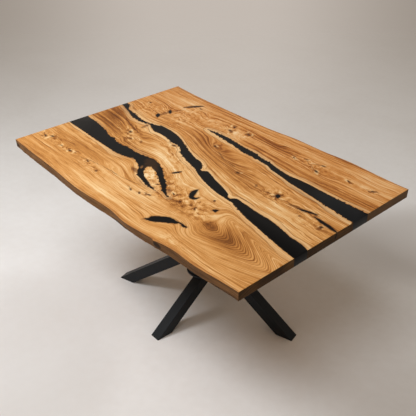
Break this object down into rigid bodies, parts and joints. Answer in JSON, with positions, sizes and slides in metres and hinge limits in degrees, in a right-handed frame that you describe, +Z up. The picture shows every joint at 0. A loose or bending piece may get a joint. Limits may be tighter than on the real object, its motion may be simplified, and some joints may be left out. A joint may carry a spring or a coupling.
{
  "type": "dining table",
  "caption": "Live-edge oak dining table with black resin rivers through its top, on a pinwheel base of sloping black steel tubes round a central hub.",
  "frame": {"origin": "on the floor, under the middle of the top", "axes": "+X along the top, towards its right end; +Y from the front live edge to the back one; +Z up"},
  "size_m": [1.4, 0.9768, 0.76],
  "materials": {
    "oak": "oiled, satin",
    "black_resin": "cast, polished with the wood",
    "black_steel": "black powder coat, satin",
    "zinc_steel": "zinc plated",
    "brass": "plain"
  },
  "bodies": {
    "table": {"front_slab": "oak", "back_slab": "oak", "left_river": "black_resin", "middle_river": "black_resin", "right_river": "black_resin", "front_void_fill": "black_resin", "hook_void_fill": "black_resin", "knot_fills": "black_resin", "left_stiffener": "black_steel", "right_stiffener": "black_steel", "hub_pipe": "black_steel", "hub_base_plate": "black_steel", "hub_top_plate": "black_steel", "left_leg": "black_steel", "left_arm": "black_steel", "left_mounting_plate": "black_steel", "left_foot_plate": "black_steel", "front_leg": "black_steel", "front_arm": "black_steel", "front_mounting_plate": "black_steel", "front_foot_plate": "black_steel", "right_leg": "black_steel", "right_arm": "black_steel", "right_mounting_plate": "black_steel", "right_foot_plate": "black_steel", "back_leg": "black_steel", "back_arm": "black_steel", "back_mounting_plate": "black_steel", "back_foot_plate": "black_steel", "mounting_bolts": "zinc_steel", "stiffener_screws": "zinc_steel", "mounting_inserts": "brass"},
    "left_leveller": {"left_leveller": "zinc_steel"},
    "front_leveller": {"front_leveller": "zinc_steel"},
    "right_leveller": {"right_leveller": "zinc_steel"},
    "back_leveller": {"back_leveller": "zinc_steel"}
  },
  "joints": [
    {"name": "left_leveller_travel", "type": "slide", "parent": "table", "child": "left_leveller", "axis": [0, 0, -1], "range_m": [0, 0.008]},
    {"name": "front_leveller_travel", "type": "slide", "parent": "table", "child": "front_leveller", "axis": [0, 0, -1], "range_m": [0, 0.008]},
    {"name": "right_leveller_travel", "type": "slide", "parent": "table", "child": "right_leveller", "axis": [0, 0, -1], "range_m": [0, 0.008]},
    {"name": "back_leveller_travel", "type": "slide", "parent": "table", "child": "back_leveller", "axis": [0, 0, -1], "range_m": [0, 0.008]}
  ]
}
